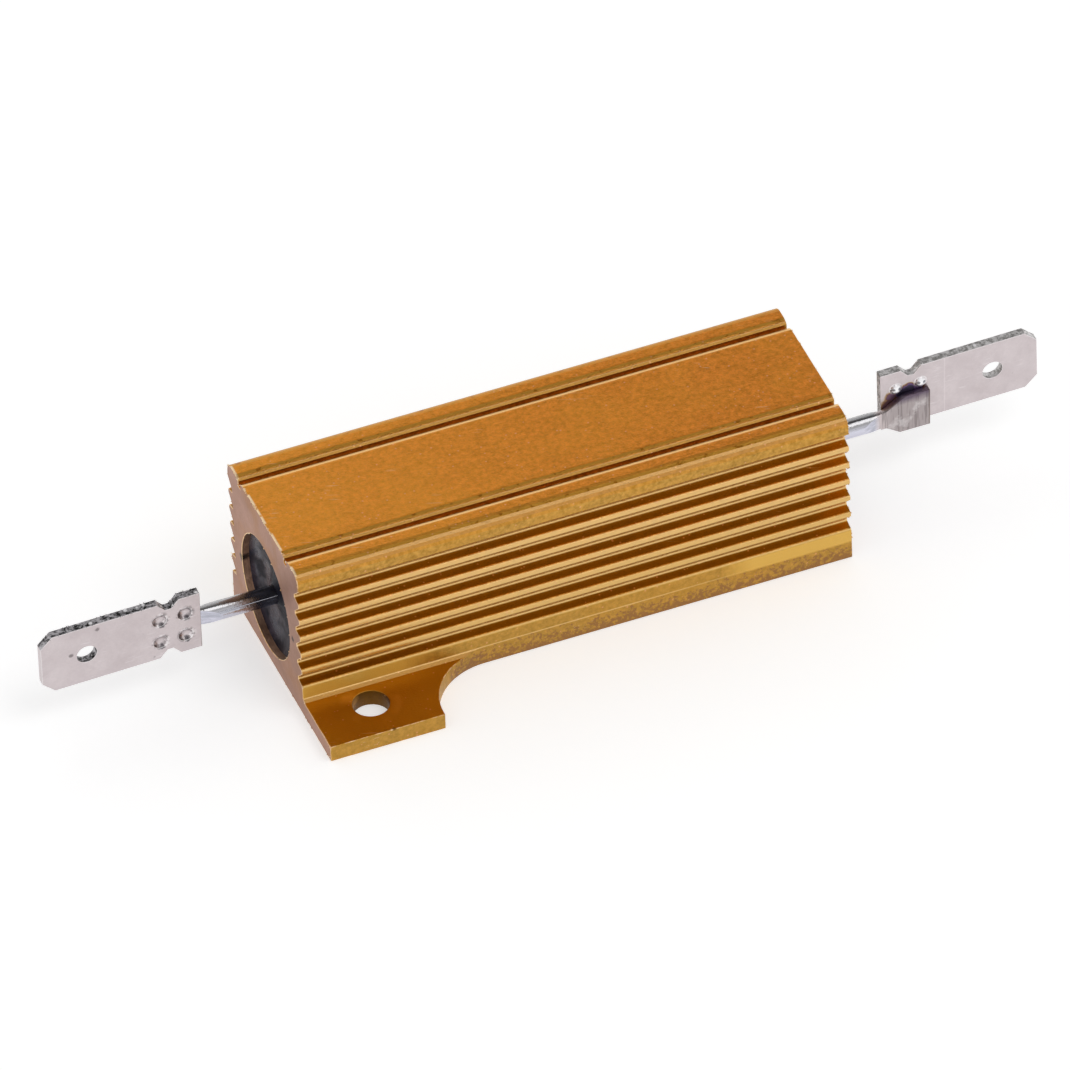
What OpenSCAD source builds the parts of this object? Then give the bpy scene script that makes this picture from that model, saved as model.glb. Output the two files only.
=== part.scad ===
// Power resistor in an extruded aluminium housing.
//
// A wound ceramic core lies on the axis of a ribbed housing, set in a dark moulding that
// fills the bore. One lead comes out of each end. Its tip is pressed flat, and a push-on
// tab is projection-welded to the flat. Two feet, one at each end on opposite sides, are
// what is left of the extruded flanges after milling.
//
// X runs along the housing, Y across it, and Z up from the mounting face. The origin is
// the middle of the mounting face. All sizes are in millimetres and degrees.

/* [Housing] */
// Length of the extruded housing
body_l = 50; // [42:0.5:80]
// Width over the ribs
body_w = 16.4; // [15.6:0.1:20]
// Height from the mounting face to the flat top
body_h = 15.5; // [15.2:0.1:20]
// Radius along the two upper long edges
top_round = 1.1; // [0.4:0.05:1.2]
// Diameter of the bore that holds the resistor element
bore_d = 11.1; // [9:0.1:12]
// Height of the bore's axis above the mounting face
axis_z = 6.75; // [6.5:0.05:7.5]

/* [Ribs] */
// Number of ribs on each side
rib_count = 5; // [1:1:5]
// Distance from one rib to the next
rib_pitch = 1.85; // [1.6:0.01:1.95]
// How far each groove reaches in from the side
rib_depth = 0.95; // [0.6:0.05:1.2]
// Height of a rib's outer face, with its rounded upper edge
nose_h = 0.5; // [0.4:0.01:0.8]
// Radius of a rib's upper outer edge
nose_round = 0.26; // [0.1:0.01:0.3]
// Bevel on a rib's lower outer edge
nose_break = 0.04; // [0.02:0.01:0.08]
// Height of the short wall at the root of each groove
root_h = 0.27; // [0.1:0.02:0.4]
// Fall of a rib's upper face from the root to its outer edge
ledge_fall = 0.15; // [0.02:0.01:0.2]
// Height from the uppermost rib to the flat top
band_h = 3.02; // [2.2:0.02:3.2]

/* [Top grooves] */
// Distance from the side of the housing to a groove's centre line
groove_in = 2.87; // [2.5:0.01:3.6]
// Width of each groove between its upright walls
groove_w = 0.5; // [0.4:0.02:0.8]
// Depth of each groove
groove_t = 0.8; // [0.5:0.05:1]
// Radius of the two shoulders of each groove
groove_round = 1; // [0.6:0.05:1.1]
// Angle through which each shoulder rolls over before it drops into the groove
groove_roll = 47; // [35:1:55]

/* [Feet] */
// How far a foot stands out from the side
foot_out = 6.3; // [6:0.1:9]
// Thickness of a foot
foot_t = 1.6; // [1.2:0.1:2.2]
// Length of a foot along the housing
foot_l = 10.4; // [9:0.1:14]
// Bevel where a foot meets the side
foot_root = 0.3; // [0.1:0.05:0.5]
// Radius of the cutter that trims the flanges
mill_r = 6; // [4:0.5:7]
// Diameter of a screw hole
hole_d = 3.2; // [2.5:0.1:4]
// Distance of a screw hole from the end of the housing
hole_in_x = 5.15; // [4:0.05:6]
// Distance of a screw hole from the outer edge of its foot
hole_in_y = 3.8; // [3:0.1:3.9]

/* [Resistor element] */
// Diameter of the ceramic core
core_d = 5.6; // [4:0.1:6.4]
// Distance from the end of the housing to the end of the core
core_in = 6; // [4:0.5:9]
// Wall thickness of an end cap
cap_t = 0.4; // [0.3:0.05:0.8]
// Length of core that an end cap covers
cap_l = 4.5; // [2:0.5:6]
// Diameter of the resistance wire
wire_d = 0.4; // [0.2:0.05:0.6]
// Distance from one turn of the winding to the next
wire_pitch = 2.4; // [1.6:0.1:4]
// Depth of the moulding's edge below the end face
mould_in = 0.65; // [0.2:0.05:1.5]
// Further depth of the dish in the moulding's end
dish_t = 0.6; // [0.1:0.05:1]
// Height that the moulding climbs up the lead from its dish
fillet_h = 0.45; // [0.1:0.05:0.8]

/* [Leads] */
// Diameter of a lead
lead_d = 1.7; // [1:0.1:2]
// Distance from the end of the housing to a tab
lead_out = 6.25; // [4.5:0.25:12]
// Length over which a lead is pressed from round to flat
press_l = 1.8; // [1.2:0.1:3]
// Length of the flat end that stands clear before the tab
flat_in = 0.3; // [0.3:0.05:0.8]
// Thickness of the flat end
paddle_t = 0.6; // [0.4:0.05:0.9]
// Width of the flat end
paddle_w = 4; // [3:0.1:4.4]
// Height of the flat end's middle above the lead
paddle_rise = 0.15; // [0:0.05:0.6]
// Length of the flat end that lies on the tab
paddle_l = 4.3; // [3.6:0.1:5]
// Length over which the flat end fans out to its full width
fan_l = 2.6; // [1:0.1:3.4]

/* [Tabs] */
// Length of a tab
tab_l = 14.4; // [12:0.1:18]
// Width of a tab
tab_w = 6.3; // [5:0.1:7]
// Thickness of a tab
tab_t = 0.8; // [0.6:0.05:1]
// Chamfer on the two corners of the tip
tip_chamfer = 1.1; // [0.5:0.1:1.6]
// Diameter of the detent hole
detent_d = 1.8; // [1:0.1:2]
// Distance of the detent hole from the tip
detent_in = 4.1; // [3:0.1:5]
// Distance of the two edge notches from the inner end
notch_in = 2.85; // [2:0.05:5]
// Width of a notch at the edge of the tab
notch_w = 1.9; // [1:0.1:2.4]
// Width of a notch at its floor
notch_floor = 0.5; // [0.3:0.1:0.9]
// Depth of a notch
notch_t = 0.8; // [0.3:0.05:1]
// Diameter of a weld dimple
dimple_d = 1.3; // [0.8:0.05:1.6]
// Depth of a weld dimple
dimple_t = 0.38; // [0.2:0.02:0.5]
// Diameter of the dome behind a dimple
dome_d = 1.1; // [0.8:0.05:1.2]
// Height of the dome behind a dimple
dome_h = 0.34; // [0.2:0.02:0.4]
// Distance of the first dimples from the inner end
dimple_in = 1.42; // [1:0.02:2]
// Distance between dimples along the tab
dimple_step_x = 2.28; // [1.8:0.02:3]
// Distance between dimples across the tab
dimple_step_z = 2.5; // [1.8:0.02:3]

/* [How the tabs sit] */
// Height of the left tab's middle above the lead
left_lift = 0.65; // [0:0.05:2]
// Height of the right tab's middle above the lead
right_lift = 1.55; // [0:0.05:2]
// Angle by which the left tab hangs down towards its tip
left_droop = 1.25; // [-3:0.25:3]
// Angle by which the right tab hangs down towards its tip
right_droop = -1; // [-3:0.25:3]
// Angle by which the top of the left tab leans away from its lead
left_lean = -3; // [-5:0.5:5]
// Angle by which the top of the right tab leans towards its lead
right_lean = 3; // [-5:0.5:5]

/* [Hidden] */

$fn = 96;

// Clearance between round pieces that fit inside one another
fit = 0.02;
// Number of straight steps in a small rounded edge and in a long curve
edge_steps = 3;
nose_steps = 5;
curve_steps = 10;
// Extra length by which a cutting shape passes a face
over = 1;

side_y = body_w / 2;
foot_y = side_y + foot_out;
rib_top_z = body_h - band_h;
groove_y = side_y - groove_in;
// Where the shoulders leave the strip and the middle of the top, and where they end
shoulder_w = groove_round * sin(groove_roll);
strip_y = groove_y + groove_w / 2 + shoulder_w;
middle_y = groove_y - groove_w / 2 - shoulder_w;
end_x = body_l / 2;
hole_x = end_x - hole_in_x;
hole_y = foot_y - hole_in_y;
// The cutter's centre stands off the side by its own radius, so it trims the flange flush,
// and it stops where it leaves foot_l of the flange's outer edge
mill_y = side_y + mill_r;
mill_x = end_x - foot_l - sqrt(mill_r * mill_r - pow(max(0, mill_y - foot_y), 2));

core_end = end_x - core_in;
cap_end = core_end + cap_t;
cap_mouth = core_end - cap_l;
cap_r = core_d / 2 + fit + cap_t;
// A turn has turn_steps straight pieces, and their middles have to clear the core
turn_steps = 14;
wire_sides = 6;
wire_r = wire_d / 2;
coil_r = (core_d / 2 + wire_r + fit) / cos(180 / turn_steps);
coil_l = 2 * (cap_mouth - wire_d);
coil_turns = coil_l / wire_pitch;
mould_end = end_x - mould_in;

tab_x = end_x + lead_out;
lead_end = tab_x + paddle_l;

// Points of a quarter-round or any other arc about [cy, cz], from angle a0 to a1
function arc(cy, cz, r, a0, a1, steps) =
    [for (i = [0:steps]) let (a = a0 + (a1 - a0) * i / steps) [cy + r * cos(a), cz + r * sin(a)]];

function reversed(p) = [for (i = [len(p) - 1:-1:0]) p[i]];
function mirrored(p) = [for (q = p) [-q[0], q[1]]];

// ---------------------------------------------------------------- housing

// One saw-tooth groove, from the rib whose rounded edge tops out at height z up to the face
// above it: the edge, the upper face that climbs to the root, the root wall, and the
// sloping underside of the next face
function groove_points(z) = concat(
    arc(side_y - nose_round, z - nose_round, nose_round, 0, 90, nose_steps),
    [[side_y - rib_depth, z + ledge_fall],
     [side_y - rib_depth, z + ledge_fall + root_h],
     [side_y - nose_break, z + rib_pitch - nose_h],
     [side_y, z + rib_pitch - nose_h + nose_break]]);

// Half of the extruded section, on the +Y side, from the mounting face to the top
function half_section() = concat(
    [[0, 0], [foot_y, 0], [foot_y, foot_t],
     [side_y + foot_root, foot_t], [side_y, foot_t + foot_root]],
    [for (i = [rib_count:-1:0]) each groove_points(rib_top_z - i * rib_pitch)],
    arc(side_y - top_round, body_h - top_round, top_round, 0, 90, 2 * edge_steps),
    arc(strip_y, body_h - groove_round, groove_round, 90, 90 + groove_roll, 2 * edge_steps),
    [[groove_y + groove_w / 2, body_h - groove_t], [groove_y - groove_w / 2, body_h - groove_t]],
    arc(middle_y, body_h - groove_round, groove_round, 90 - groove_roll, 90, 2 * edge_steps));

module section() {
    polygon(concat(half_section(), reversed(mirrored(half_section()))));
}

// What the cutter takes off the flange on the +Y side: it comes in along the side, stops
// short of the foot and leaves straight outwards
module flange_cut() {
    translate([0, 0, -over])
        linear_extrude(foot_t + foot_root + over) {
            translate([mill_x, mill_y]) circle(mill_r);
            translate([-end_x - over, side_y])
                square([mill_x + end_x + over, 2 * foot_out]);
            translate([mill_x - over, mill_y])
                square([mill_r + over, 2 * foot_out]);
        }
}

module housing() {
    color("goldenrod")
        difference() {
            rotate([90, 0, 90])
                linear_extrude(body_l, center = true) section();
            for (turn = [0, 180])
                rotate(turn) {
                    flange_cut();
                    translate([hole_x, hole_y, -over])
                        cylinder(d = hole_d, h = foot_t + 2 * over);
                }
            translate([-end_x - over, 0, axis_z])
                rotate([0, 90, 0])
                    cylinder(d = bore_d, h = body_l + 2 * over);
        }
}

// ---------------------------------------------------------------- resistor element

// Turns a profile of [radius, x] points about the bore's axis
module turned(points) {
    translate([0, 0, axis_z])
        rotate([0, 90, 0])
            rotate_extrude() polygon(points);
}

// The moulding's end face at radius r: dished, and drawn up around the lead
mould_r = bore_d / 2 - fit;
hub_r = lead_d / 2 + fit;
trough_r = hub_r + (mould_r - hub_r) * 0.3;
function dish_x(r) = r > trough_r
    ? mould_end - dish_t * (1 - pow((r - trough_r) / (mould_r - trough_r), 2))
    : mould_end - dish_t + fillet_h * pow((trough_r - r) / (trough_r - hub_r), 2);

// Half of the moulding's section, from the wide cavity at the middle to the lead's hole
// and out across the dished end
function half_moulding() = concat(
    [[coil_r + wire_r + fit, 0], [coil_r + wire_r + fit, cap_mouth],
     [cap_r + fit, cap_mouth], [cap_r + fit, cap_end], [hub_r, cap_end]],
    [for (i = [0:curve_steps])
        let (r = hub_r + (mould_r - hub_r) * i / curve_steps) [r, dish_x(r)]]);

module moulding() {
    far_half = [for (p = reversed(half_moulding())) [p[0], -p[1]]];
    color("darkslategray")
        turned(concat(half_moulding(), far_half));
}

module ceramic_core() {
    bevel = 0.3;
    r = core_d / 2;
    color("ivory")
        turned([[0, -core_end], [r - bevel, -core_end], [r, -core_end + bevel],
                [r, core_end - bevel], [r - bevel, core_end], [0, core_end]]);
}

// Point i of the helix that the resistance wire follows
function coil_point(i) =
    let (a = i * 360 / turn_steps)
    [-coil_l / 2 + wire_pitch * i / turn_steps, coil_r * cos(a), coil_r * sin(a)];

// Ring i of the wire's surface, square to the axis of the turn
function coil_ring(i) =
    let (c = coil_point(i), a = i * 360 / turn_steps)
    [for (k = [0:wire_sides - 1])
        let (b = k * 360 / wire_sides, out = wire_r * cos(b))
        [c[0] + wire_r * sin(b), c[1] + out * cos(a), c[2] + out * sin(a)]];

module resistance_winding() {
    last = floor(coil_turns * turn_steps);
    points = [for (i = [0:last]) each coil_ring(i)];
    walls = [for (i = [0:last - 1], k = [0:wire_sides - 1])
        let (a = i * wire_sides + k, b = i * wire_sides + (k + 1) % wire_sides)
        [a, a + wire_sides, b + wire_sides, b]];
    start = [for (k = [0:wire_sides - 1]) k];
    end = [for (k = [wire_sides - 1:-1:0]) last * wire_sides + k];
    color("silver")
        translate([0, 0, axis_z])
            polyhedron(points, concat(walls, [start, end]), convexity = 8);
}

module end_cap() {
    inner_r = core_d / 2 + fit;
    color("lightgray")
        turned([[0, core_end], [inner_r, core_end], [inner_r, cap_mouth],
                [cap_r, cap_mouth], [cap_r, cap_end], [0, cap_end]]);
}

module left_end_cap() { rotate(180) end_cap(); }
module right_end_cap() { end_cap(); }

// ---------------------------------------------------------------- leads

// A smooth rise from 0 to 1
function ease(t) = t * t * (3 - 2 * t);

// A lead is one round wire: its outer end is pressed to a flat that fans out. The turned
// outline gives its widest edge, and the slab between two pressed faces its thickness and
// its lower edge, which stands nearer to the axis.
module lead(lean) {
    fan_x = tab_x - flat_in;
    press_x = fan_x - press_l;
    upper_w = paddle_w / 2 + paddle_rise;
    lower_w = paddle_w / 2 - paddle_rise;
    outline = concat(
        [[0, cap_end], [lead_d / 2, cap_end]],
        [for (i = [0:curve_steps])
            let (t = i / curve_steps)
            [lead_d / 2 + (upper_w - lead_d / 2) * ease(t), fan_x + fan_l * t]],
        [[upper_w, lead_end], [0, lead_end]]);
    upper = [[cap_end - over, lead_d], [press_x, lead_d / 2 + fit],
             [fan_x, paddle_t / 2], [lead_end + over, paddle_t / 2]];
    color("lightsteelblue")
        intersection() {
            turned(outline);
            translate([0, 0, axis_z])
                rotate([lean, 0, 0])
                    translate([0, 0, -lower_w])
                        linear_extrude(lower_w + upper_w + over)
                            polygon(concat(upper, [for (p = reversed(upper)) [p[0], -p[1]]]));
        }
}

module left_lead() { rotate(180) lead(left_lean); }
module right_lead() { lead(right_lean); }

// ---------------------------------------------------------------- tabs

// The upper edge of the tab's outline, from its inner end to its tip
function tab_edge() = [
    [0, tab_w / 2],
    [notch_in - notch_w / 2, tab_w / 2],
    [notch_in - notch_floor / 2, tab_w / 2 - notch_t],
    [notch_in + notch_floor / 2, tab_w / 2 - notch_t],
    [notch_in + notch_w / 2, tab_w / 2],
    [tab_l - tip_chamfer, tab_w / 2],
    [tab_l, tab_w / 2 - tip_chamfer]];

// A ball whose cap is d wide where it stands h proud of the plane y = 0, on the +Y side
module ball_cap(d, h) {
    r = (d * d / 4 + h * h) / (2 * h);
    translate([0, h - r, 0]) sphere(r);
}

// The tab with its welded face on y = 0, its middle at z = 0 and its inner end at x = 0.
// A dimple whose dome would land on the lead's flat end has no dome left: the weld used it.
module blade(lift) {
    difference() {
        union() {
            rotate([90, 0, 0]) mirror([0, 0, 1])
                linear_extrude(tab_t)
                    polygon(concat(tab_edge(), [for (p = reversed(tab_edge())) [p[0], -p[1]]]));
            for (i = [0, 1], side = [-1, 1])
                if (abs(lift - paddle_rise + side * dimple_step_z / 2) > (paddle_w + dome_d) / 2)
                    translate([dimple_in + i * dimple_step_x, 0, side * dimple_step_z / 2])
                        mirror([0, 1, 0]) ball_cap(dome_d, dome_h);
        }
        for (i = [0, 1], side = [-1, 1])
            translate([dimple_in + i * dimple_step_x, tab_t, side * dimple_step_z / 2])
                mirror([0, 1, 0]) ball_cap(dimple_d, dimple_t);
        translate([tab_l - detent_in, -over, 0])
            rotate([-90, 0, 0])
                cylinder(d = detent_d, h = tab_t + 2 * over);
    }
}

// A tab seated on the flat of its lead, turned about the lead's axis as it is welded
module tab(lift, droop, lean) {
    color("gainsboro")
        translate([tab_x, 0, axis_z])
            rotate([lean, 0, 0])
                translate([0, paddle_t / 2, 0])
                    rotate([0, droop, 0])
                        translate([0, 0, lift]) blade(lift);
}

module left_tab() { rotate(180) tab(left_lift, left_droop, left_lean); }
module right_tab() { tab(right_lift, right_droop, right_lean); }

housing();
moulding();
ceramic_core();
resistance_winding();
left_end_cap();
right_end_cap();
left_lead();
right_lead();
left_tab();
right_tab();
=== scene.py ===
# %% [markdown]
# # An aluminium housed power resistor
# A resistance wire is wound on a ceramic rod, moulded into the bore of a gold anodised aluminium
# extrusion and led out at both ends to flat push-on tabs. The extrusion is the heat sink: its feet are
# bolted to a chassis. The exact solids come from the CAD model. This file loads them as a fixed frame
# and gives each one the edges, wear and finish that make it look handled and real.

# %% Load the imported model
import math

import bmesh
import bpy
from mathutils import Matrix, Vector


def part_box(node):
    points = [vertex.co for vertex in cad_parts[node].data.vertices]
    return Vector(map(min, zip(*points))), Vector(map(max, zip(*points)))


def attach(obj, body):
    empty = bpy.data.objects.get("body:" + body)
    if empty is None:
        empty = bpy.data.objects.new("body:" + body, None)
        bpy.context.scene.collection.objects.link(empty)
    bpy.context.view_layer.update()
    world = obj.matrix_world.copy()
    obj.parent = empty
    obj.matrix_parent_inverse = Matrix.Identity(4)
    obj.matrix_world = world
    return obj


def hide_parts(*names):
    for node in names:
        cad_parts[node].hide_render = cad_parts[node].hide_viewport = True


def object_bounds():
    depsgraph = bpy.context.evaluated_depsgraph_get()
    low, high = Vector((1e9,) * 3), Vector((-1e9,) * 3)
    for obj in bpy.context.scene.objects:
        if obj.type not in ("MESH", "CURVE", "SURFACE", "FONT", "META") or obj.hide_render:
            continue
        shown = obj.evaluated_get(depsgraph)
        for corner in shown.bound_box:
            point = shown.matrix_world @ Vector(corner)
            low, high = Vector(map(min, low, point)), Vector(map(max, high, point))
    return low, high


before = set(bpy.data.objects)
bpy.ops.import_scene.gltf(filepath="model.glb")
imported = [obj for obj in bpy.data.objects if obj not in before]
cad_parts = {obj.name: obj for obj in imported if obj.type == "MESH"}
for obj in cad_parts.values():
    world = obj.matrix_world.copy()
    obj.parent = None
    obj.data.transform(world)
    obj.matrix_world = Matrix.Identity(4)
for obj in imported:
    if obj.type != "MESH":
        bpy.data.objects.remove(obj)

MM = 0.001                                   # the scene is in metres, sizes here are in millimetres
for leftover in ("Cube", "Light", "Camera"):  # what a new Blender file starts with
    if leftover in bpy.data.objects:
        bpy.data.objects.remove(bpy.data.objects[leftover])
cad_low, cad_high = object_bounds()
print("solids:", sorted(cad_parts))
print("CAD box in mm:", [round(v / MM, 2) for v in (*cad_low, *cad_high)])

# %% [markdown]
# ## Camera
# Seen from far away through a long lens, parallel edges stay parallel, as they do in a catalogue.
# The camera stands two metres off and is placed by three angles round a point close to the middle of
# the part. Its axes are built by hand, because the roll has to be added after the other two angles.

# %% Camera
AZIMUTH, ELEVATION, ROLL = (math.radians(a) for a in (20.139, 41.576, -2.391))
CAMERA_DISTANCE = 2.0
LENS = 795.06
AIM_OFFSET = Vector((-0.873, -0.843, -1.982)) * MM     # from the middle of the part

look = Vector((math.sin(AZIMUTH) * math.cos(ELEVATION),
               math.cos(AZIMUTH) * math.cos(ELEVATION), -math.sin(ELEVATION)))
across = look.cross(Vector((0, 0, 1))).normalized()
upward = across.cross(look)
frame_right = math.cos(ROLL) * across + math.sin(ROLL) * upward
frame_top = math.cos(ROLL) * upward - math.sin(ROLL) * across
aim = (cad_low + cad_high) / 2 + AIM_OFFSET

camera_data = bpy.data.cameras.new("camera")
camera_data.lens, camera_data.sensor_width = LENS, 36
camera_data.clip_start, camera_data.clip_end = 0.1, 20
camera = bpy.data.objects.new("camera", camera_data)
turn = Matrix((frame_right, frame_top, -look)).transposed().to_4x4()
camera.matrix_world = Matrix.Translation(aim - look * CAMERA_DISTANCE) @ turn
bpy.context.scene.collection.objects.link(camera)
bpy.context.scene.camera = camera
bpy.context.scene.view_settings.view_transform = "Standard"
print("camera at", [round(v, 4) for v in camera.location])

# %% [markdown]
# ## Node helpers
# Every finish below is a tree of nodes. The first helper adds a node and feeds its sockets, and the
# others name the few steps that come back everywhere: a sum, a stretch of values, a noise.

# %% Helpers for nodes
def put(tree, kind, feeds=None, **settings):
    """Adds a node. A socket in feeds is linked, and any other value is written into the input."""
    made = tree.nodes.new(kind)
    for name, value in settings.items():
        setattr(made, name, value)
    for key, value in (feeds or {}).items():
        if isinstance(value, bpy.types.NodeSocket):
            tree.links.new(value, made.inputs[key])
        else:
            made.inputs[key].default_value = value
    return made


def maths(tree, operation, a, b=0.0, clamp=False):
    return put(tree, "ShaderNodeMath", {0: a, 1: b}, operation=operation, use_clamp=clamp).outputs[0]


def plus(tree, *values):
    """The sum of several values."""
    total = values[0]
    for value in values[1:]:
        total = maths(tree, "ADD", total, value)
    return total


def remap(tree, value, low, high, to_low=0.0, to_high=1.0):
    """Turns the range low..high of a value into to_low..to_high, and holds the ends outside it."""
    return put(tree, "ShaderNodeMapRange", {"Value": value, "From Min": low, "From Max": high,
               "To Min": to_low, "To Max": to_high}).outputs[0]


def mix(tree, factor, a, b):
    """Mixes two colours. Each is a socket or red, green and blue, and the factor can be a socket too."""
    a, b = ((*colour, 1) if isinstance(colour, tuple) else colour for colour in (a, b))
    return put(tree, "ShaderNodeMix", {0: factor, 6: a, 7: b}, data_type="RGBA").outputs[2]


def noise(tree, position, scale, detail=2.0, roughness=0.5):
    return put(tree, "ShaderNodeTexNoise", {"Vector": position, "Scale": scale, "Detail": detail,
               "Roughness": roughness}).outputs[0]


def parts_of(tree, vector):
    """The X, Y and Z of a vector."""
    return put(tree, "ShaderNodeSeparateXYZ", {0: vector}).outputs


def squeezed(tree, position, shares):
    """A position that is shortened along some axes, which draws a noise out along them."""
    return put(tree, "ShaderNodeVectorMath", {0: position, 1: shares}, operation="MULTIPLY").outputs[0]


# %% [markdown]
# A mask is a value between 0 and 1 over the surface. Masks are multiplied to narrow them down, and a
# colour is tinted with another one where the mask is.

# %% Helpers for masks and colours
def times(tree, *masks):
    """The product of several masks."""
    product = masks[0]
    for mask in masks[1:]:
        product = maths(tree, "MULTIPLY", product, mask)
    return product


def within(tree, value, low, high, soft):
    """1 between low and high, with a soft step of this width outside each."""
    return times(tree, remap(tree, value, low - soft, low), remap(tree, value, high + soft, high))


def tinted(tree, colour, mask, other, share=1.0):
    """A colour that turns to another one where the mask is, by at most this share."""
    return mix(tree, times(tree, mask, share), colour, other)


def ramp(tree, factor, stops):
    """A colour that follows a value through a few (place, colour) stops."""
    made = put(tree, "ShaderNodeValToRGB", {0: factor})
    elements = made.color_ramp.elements
    while len(elements) < len(stops):
        elements.new(0.5)
    for element, (place, colour) in zip(elements, stops):
        element.position, element.color = place, (*colour, 1)
    return made.outputs[0]


# %% [markdown]
# A node group is an effect with named inputs and outputs that several finishes share.

# %% Helpers for groups
FLOAT, VECTOR = "NodeSocketFloat", "NodeSocketVector"
NOWHERE = (0.0, 0.0, 0.0)


def open_group(name, inputs, outputs):
    """A new node group. inputs is {name: default}, and outputs are the names of the values it gives."""
    tree = bpy.data.node_groups.new(name, "ShaderNodeTree")
    for label, value in inputs.items():
        kind = VECTOR if isinstance(value, tuple) else FLOAT
        tree.interface.new_socket(label, in_out="INPUT", socket_type=kind).default_value = value
    for label in outputs:
        tree.interface.new_socket(label, in_out="OUTPUT", socket_type=FLOAT)
    return tree, tree.nodes.new("NodeGroupInput").outputs


def masked(tree, group, place, **inputs):
    """The mask that a group gives at a position. The rest are the group's own inputs."""
    return put(tree, "ShaderNodeGroup", {"Position": place, **inputs}, node_tree=group).outputs["Mask"]


print("helpers are ready")

# %% [markdown]
# ## Floor, backdrop and lamps
# The part lies on a white table in a light tent. A metal has almost no colour of its own apart from
# what it mirrors, so the surroundings matter more than the lamps: a white table and low white walls,
# a darker ceiling, and one soft box above the front that draws the bright line on every rib. The table
# takes the shadow from its diffuse shader, and a little glow that only the camera and mirrored rays
# see lifts it to white, so that no extra light falls on the part.

# %% Light tent
AMBIENT = 0.55                               # what matt surfaces receive from all round
# How bright the tent looks in a mirror, from the horizon (0) to straight up (1)
TENT = ((0.0, 0.95), (0.45, 0.90), (0.66, 0.72), (0.80, 0.33), (0.95, 0.10))

world = bpy.data.worlds.new("light tent")
bpy.context.scene.world = world
world.use_nodes = True
tree = world.node_tree
tree.nodes.clear()
path = put(tree, "ShaderNodeLightPath").outputs
height = parts_of(tree, put(tree, "ShaderNodeTexCoord").outputs["Generated"])["Z"]
tent = ramp(tree, height, [(at, (bright,) * 3) for at, bright in TENT])
mirrored = maths(tree, "MAXIMUM", path["Is Glossy Ray"], path["Is Transmission Ray"])
level = mix(tree, mirrored, (AMBIENT,) * 3, tent)
level = mix(tree, path["Is Camera Ray"], level, (1.0, 1.0, 1.0))
sky = put(tree, "ShaderNodeBackground", {"Color": level, "Strength": 1.0})
put(tree, "ShaderNodeOutputWorld", {"Surface": sky.outputs[0]})
print("light tent with", len(TENT), "levels")

# %% [markdown]
# The table is one plain sheet just under the feet.

# %% Table
TABLE_SIZE = 6.0
TABLE_GLOW = 0.46
TABLE_GAP = 0.02 * MM
PAPER = (0.82, 0.82, 0.82, 1)

table_mesh = bpy.data.meshes.new("table")
half = TABLE_SIZE / 2
table_mesh.from_pydata([(-half, -half, 0), (half, -half, 0), (half, half, 0), (-half, half, 0)],
                       [], [(0, 1, 2, 3)])
table = bpy.data.objects.new("table", table_mesh)
table.location.z = cad_low.z - TABLE_GAP
bpy.context.scene.collection.objects.link(table)
white = bpy.data.materials.new("white table")
white.use_nodes = True
tree = white.node_tree
tree.nodes.clear()
path = put(tree, "ShaderNodeLightPath").outputs
seen = maths(tree, "ADD", path["Is Camera Ray"],
             maths(tree, "MAXIMUM", path["Is Glossy Ray"], path["Is Transmission Ray"]), clamp=True)
glow = put(tree, "ShaderNodeEmission", {"Strength": times(tree, seen, TABLE_GLOW)})
paper = put(tree, "ShaderNodeBsdfDiffuse", {"Color": PAPER})
both = put(tree, "ShaderNodeAddShader", {0: glow.outputs[0], 1: paper.outputs[0]})
put(tree, "ShaderNodeOutputMaterial", {"Surface": both.outputs[0]})
table_mesh.materials.append(white)
print("table", TABLE_SIZE, "m wide")

# %% [markdown]
# The front soft box is large and near, and draws the bright line on each rib. The rear card is small and
# weak, and keeps the far edges from sinking into the table.

# %% Lamps
def soft_box(name, towards, distance, width, depth, radiance):
    """A rectangular lamp that faces the part. Its power follows from how bright its face should look."""
    data = bpy.data.lights.new(name, "AREA")
    data.shape, data.size, data.size_y = "RECTANGLE", width, depth
    data.energy = radiance * math.pi * width * depth
    lamp = bpy.data.objects.new(name, data)
    lamp.location = aim + Vector(towards).normalized() * distance
    lamp.rotation_euler = (aim - lamp.location).to_track_quat("-Z", "Y").to_euler()
    lamp.visible_camera = False
    bpy.context.scene.collection.objects.link(lamp)
    print(name, round(data.energy, 3), "W")
    return lamp


soft_box("front soft box", (0.26, -0.45, 0.86), 0.7, 0.42, 0.30, 2.0)
soft_box("rear card", (-0.07, 0.74, 0.67), 0.27, 0.15, 0.10, 0.45)

# %% [markdown]
# ## Shared effects
# Five effects come back in several finishes, so each is a group: a fine grain, sparse flecks, fine
# scratches, wear on the broken edges, and a ragged spot round a point. A group gives out only values.
# The shader stays in the material, where the exporter can read it. The grain is two noises, one for the
# grain itself and one for the patches that it comes and goes in.

# %% Fine grain
grain, use = open_group("fine grain", {"Position": NOWHERE, "Scale": 4000.0, "Patch scale": 300.0},
                        ("Value", "Patches"))
fine = noise(grain, use["Position"], use["Scale"], 3.0, 0.65)
patch = noise(grain, use["Position"], use["Patch scale"], 3.0, 0.6)
put(grain, "NodeGroupOutput", {"Value": remap(grain, fine, 0.3, 0.7),
                               "Patches": remap(grain, patch, 0.3, 0.7)})


def grained(tree, place, scale, patch_scale):
    """The Value of the grain and the Patches that it comes in."""
    return put(tree, "ShaderNodeGroup", {"Position": place, "Scale": scale, "Patch scale": patch_scale},
               node_tree=grain).outputs


print(grain.name, len(grain.nodes), "nodes")

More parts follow.
